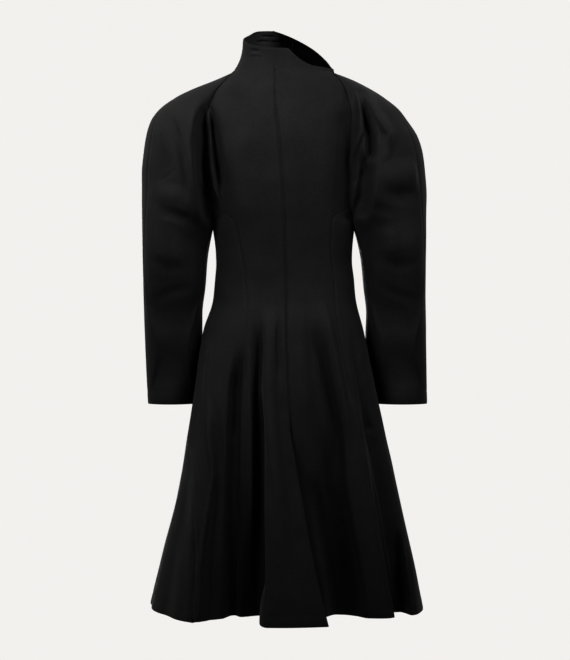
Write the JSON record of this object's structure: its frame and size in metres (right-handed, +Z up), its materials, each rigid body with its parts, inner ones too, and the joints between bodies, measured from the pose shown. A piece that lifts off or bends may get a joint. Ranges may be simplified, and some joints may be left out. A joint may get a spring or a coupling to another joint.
{
  "type": "coat",
  "caption": "Knee-length flared wool coat, hollow as when worn, with rounded raglan sleeves, fitted waist, back vent and an asymmetric funnel collar.",
  "frame": {"origin": "between the shoulders, at the level of the neck seam, where the wearer carries the coat", "axes": "+X to the wearer's right, +Y to the wearer's front, +Z up; the hem is at the lowest Z"},
  "size_m": [0.5284, 0.4625, 1.0708],
  "materials": {
    "wool": "matt milled wool"
  },
  "bodies": {
    "root": {"back_left": "wool", "back_right": "wool", "side_back_left": "wool", "side_back_right": "wool", "front_left": "wool", "front_right": "wool", "sleeve_left_back": "wool", "sleeve_left_front": "wool", "sleeve_right_back": "wool", "sleeve_right_front": "wool", "collar_left": "wool", "collar_right": "wool"}
  },
  "joints": []
}
